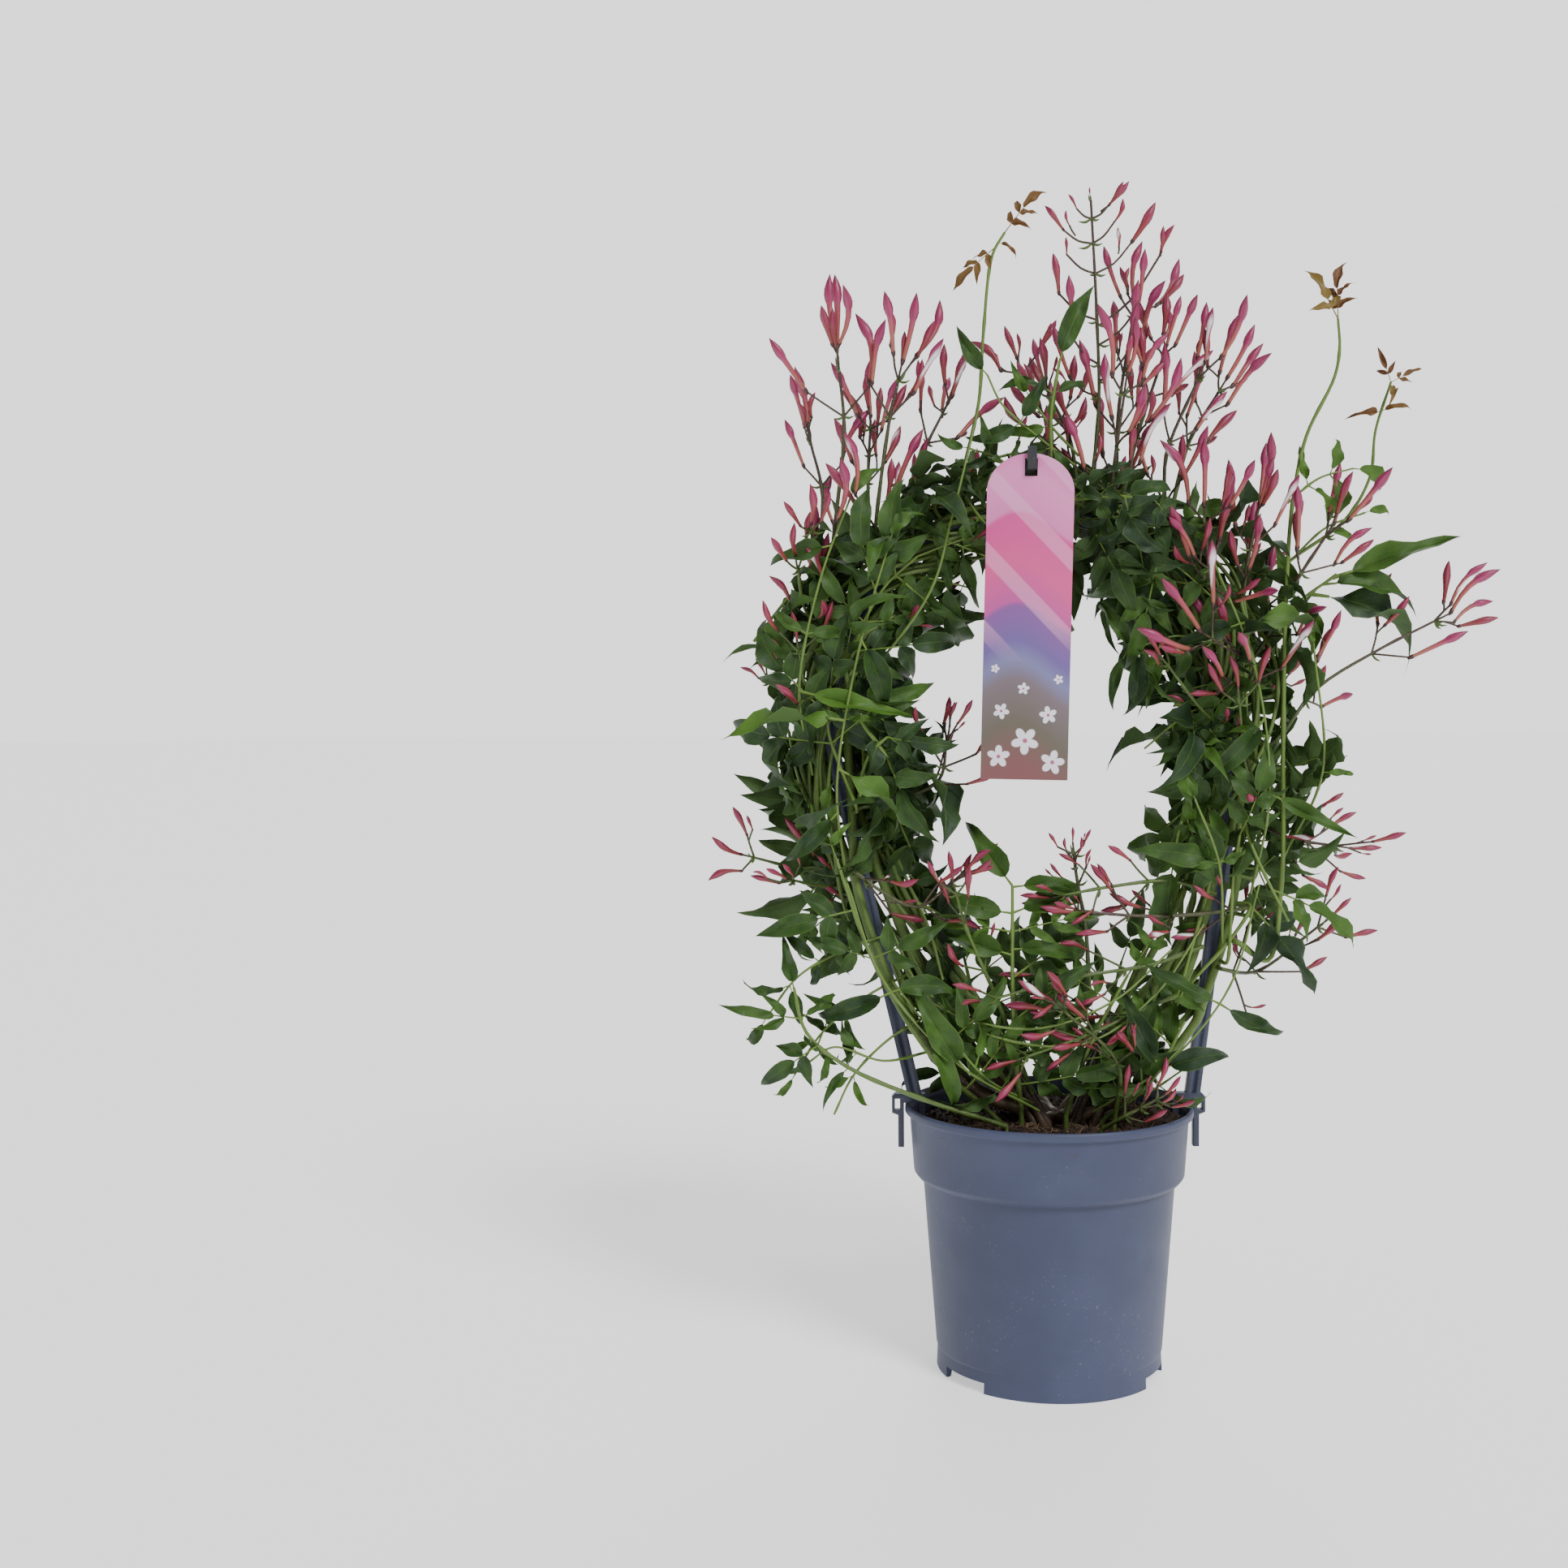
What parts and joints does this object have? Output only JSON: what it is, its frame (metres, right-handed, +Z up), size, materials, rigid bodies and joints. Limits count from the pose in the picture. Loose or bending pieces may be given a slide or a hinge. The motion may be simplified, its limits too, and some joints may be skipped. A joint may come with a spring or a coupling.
{
  "type": "potted pink jasmine on a hoop",
  "caption": "Potted climbing jasmine in pink bud, its stems twined round a leafy hoop above a nursery pot, with a blank hanging tag.",
  "frame": {"origin": "centre of the pot's foot, on the surface that it stands on", "axes": "+Z up; -Y towards the front, where the tag hangs; +X to the right, the side of the long runner"},
  "size_m": [0.3328, 0.1232, 0.4965],
  "materials": {
    "pot": "soft matt blue-grey plastic, faintly scuffed and dusty",
    "soil": "damp dark-brown peat with fibres",
    "hoop": "satin blue-grey plastic",
    "tag": null,
    "hook": "dark grey plastic",
    "vine": "green twining stems, brown and woody at the foot",
    "leaf": "glossy dark green leaves with a paler rib and edge",
    "young_leaf": "light green runners with bronze young leaves",
    "bud": "salmon to magenta buds with dark calyces"
  },
  "bodies": {
    "root": {"pot": "pot", "soil": "soil", "hoop": "hoop", "tag": "tag", "tag_hook": "hook", "runner_far": "young_leaf", "runner_left": "young_leaf", "runner_right": "young_leaf", "shoot_back_1": "leaf", "shoot_back_2": "leaf", "shoot_back_3": "leaf", "shoot_back_4": "leaf", "shoot_back_5": "leaf", "shoot_crest": "leaf", "shoot_far_right": "leaf", "shoot_front_2": "leaf", "shoot_front_3": "leaf", "shoot_front_4": "leaf", "shoot_front_5": "leaf", "shoot_front_6": "leaf", "shoot_low_back_left": "leaf", "shoot_low_back_right": "leaf", "shoot_low_centre": "leaf", "shoot_low_left": "leaf", "shoot_low_left_front": "leaf", "shoot_low_right": "leaf", "shoot_low_upright": "leaf", "shoot_outer_1": "leaf", "shoot_outer_2": "leaf", "shoot_outer_3": "leaf", "shoot_outer_4": "leaf", "shoot_outer_5": "leaf", "spray_crest": "bud", "spray_crest_far": "bud", "spray_crest_front": "bud", "spray_crest_left": "bud", "spray_crest_right": "bud", "spray_far_right": "bud", "spray_foot_right": "bud", "spray_inner_left": "bud", "spray_inner_right": "bud", "spray_low_front": "bud", "spray_low_right": "bud", "spray_shoulder_left": "bud", "spray_shoulder_right": "bud", "spray_shoulder_right_far": "bud", "spray_shoulder_right_top": "bud", "spray_side_right": "bud", "spray_soil": "bud", "spray_top_left": "bud", "spray_top_left_back": "bud", "spray_top_left_outer": "bud", "vine_left_front": "vine", "vine_left_inner": "vine", "vine_left_low": "vine", "vine_right_back": "vine", "vine_right_front": "vine", "vine_right_low": "vine"}
  },
  "joints": []
}
